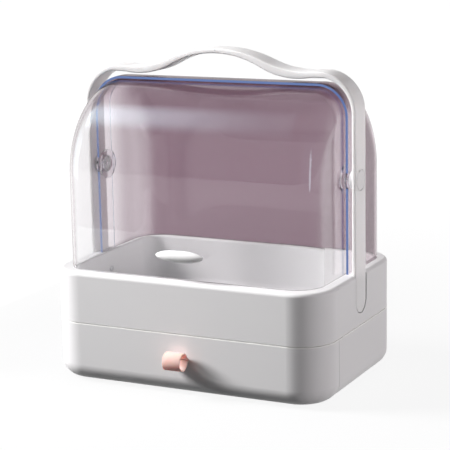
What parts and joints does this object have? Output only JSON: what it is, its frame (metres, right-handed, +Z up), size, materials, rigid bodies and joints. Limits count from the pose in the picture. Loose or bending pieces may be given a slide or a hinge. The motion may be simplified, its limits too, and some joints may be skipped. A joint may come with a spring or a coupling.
{
  "type": "covered makeup organizer",
  "caption": "Free-standing makeup organizer: round-cornered tray above a wide drawer, nesting clear covers on side pivots and an arched carrying handle.",
  "frame": {"origin": "on the table, under the middle of the object's bounding box", "axes": "+Z up, -Y to the front where the drawer opens, +X to the right seen from the front, along the handle"},
  "size_m": [0.29, 0.215, 0.321],
  "materials": {
    "white_plastic": "satin moulded white plastic",
    "gloss_white": "polished white plastic",
    "clear_plastic": "clear moulded plastic, faint blue at the edges",
    "screw_steel": "zinc-plated",
    "pink_strap": "matte coated strap",
    "grey_rubber": "matte"
  },
  "bodies": {
    "case": {"base_shell": "white_plastic", "top_tray": "white_plastic", "handle": "white_plastic", "rear_cover": "clear_plastic", "pivot_pin_left": "clear_plastic", "pivot_pin_right": "clear_plastic", "pivot_plug_left": "white_plastic", "pivot_plug_right": "white_plastic", "pivot_screws": "screw_steel", "handle_screws": "screw_steel", "case_screws": "screw_steel", "foot_front_left": "grey_rubber", "foot_front_right": "grey_rubber", "foot_rear_left": "grey_rubber", "foot_rear_right": "grey_rubber"},
    "drawer": {"drawer_front": "white_plastic", "drawer_box": "white_plastic", "drawer_screws": "screw_steel", "ribbon_pull": "pink_strap", "ribbon_anchor": "white_plastic"},
    "front_lid": {"front_cover": "clear_plastic", "cover_knob": "gloss_white"}
  },
  "joints": [
    {"name": "drawer_slide", "type": "slide", "parent": "case", "child": "drawer", "axis": [0, -1, 0], "range_m": [0, 0.12]},
    {"name": "front_cover_turn", "type": "hinge", "parent": "case", "child": "front_lid", "pos_m": [0, 0.0095, 0.2], "axis": [-1, 0, 0], "range_deg": [0, 90]}
  ]
}
